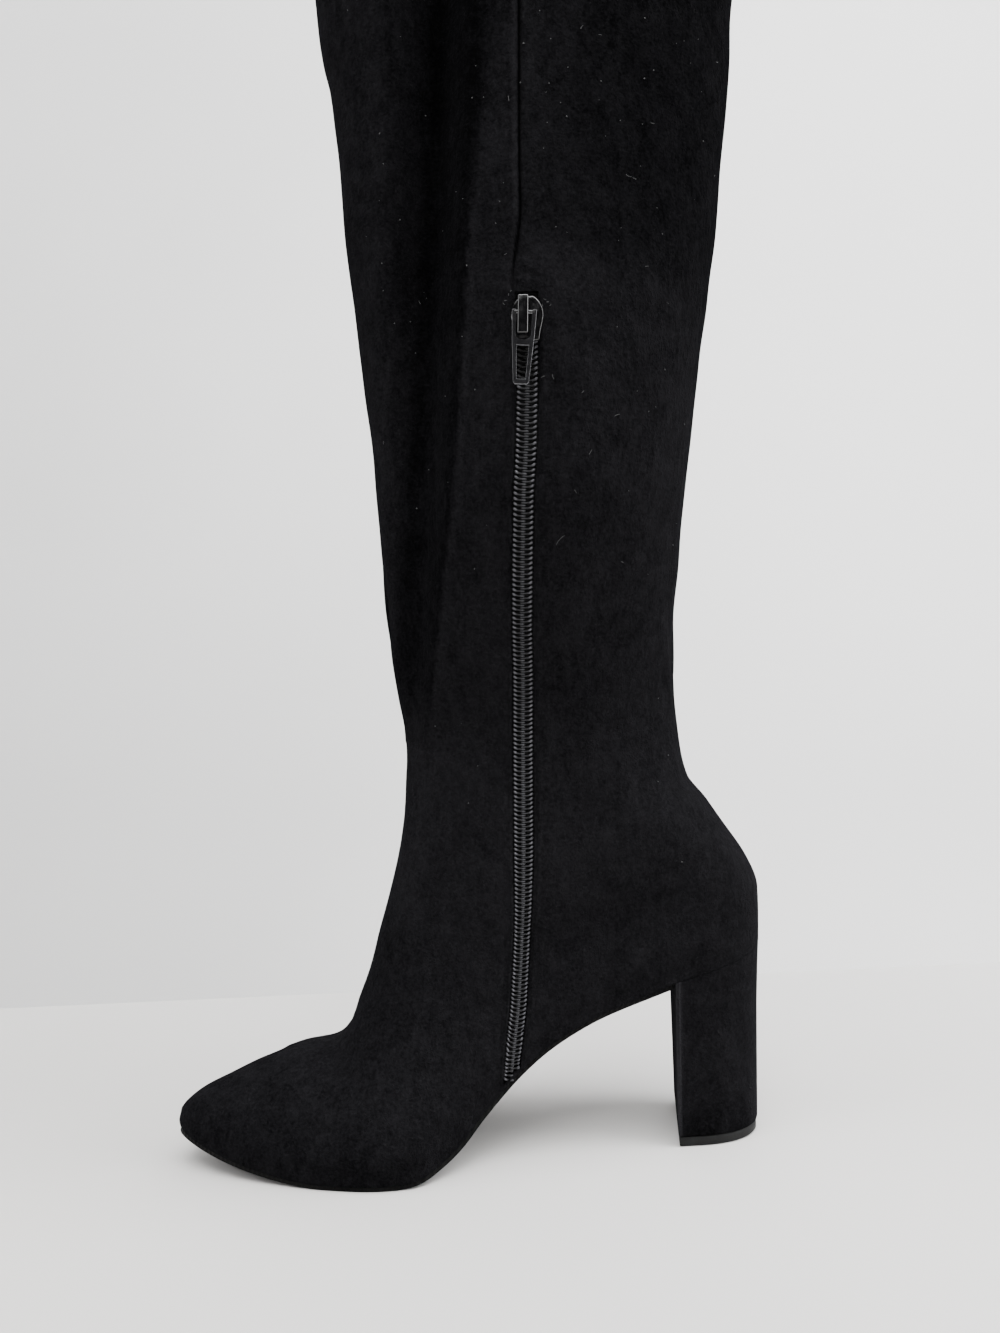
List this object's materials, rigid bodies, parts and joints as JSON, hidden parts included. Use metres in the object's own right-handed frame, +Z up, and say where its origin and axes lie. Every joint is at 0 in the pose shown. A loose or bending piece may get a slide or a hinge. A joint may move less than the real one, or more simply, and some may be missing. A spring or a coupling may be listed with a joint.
{
  "type": "over-the-knee boot",
  "caption": "Slim over-the-knee boot in soft napped cloth on a covered block heel, with an almond toe, an inside coil zip with a hanging pull tab, and a shaft open at the top.",
  "frame": {"origin": "centre of the heel top piece's walking face, on the floor", "axes": "+Z up the shaft, +X from the toe to the heel, -Y towards the inner side with the zip, +Y towards the outer side"},
  "size_m": [0.2356, 0.1068, 0.6201],
  "materials": {
    "suede": "matt napped faux suede",
    "lining": "matt knitted lining",
    "sole_rubber": "matt, finely textured",
    "top_rubber": "satin moulded rubber",
    "zip_tape": "woven tape",
    "zip_coil": "smooth extruded coil",
    "slider_metal": "glossy black paint over a cast metal"
  },
  "bodies": {
    "boot": {"upper": "suede", "outsole": "sole_rubber", "insole": "lining", "heel_block": "suede", "heel_top_piece": "top_rubber", "zip_tape_front": "zip_tape", "zip_tape_back": "zip_tape", "zip_coil_front": "zip_coil", "zip_coil_back": "zip_coil", "zip_slider": "slider_metal"},
    "pull_tab": {"zip_pull": "slider_metal"}
  },
  "joints": [
    {"name": "pull_tab_hinge", "type": "hinge", "parent": "boot", "child": "pull_tab", "pos_m": [-0.07598, -0.06098, 0.31374], "axis": [-0.9886, 0.1324, 0.072], "range_deg": [0, 170]}
  ]
}
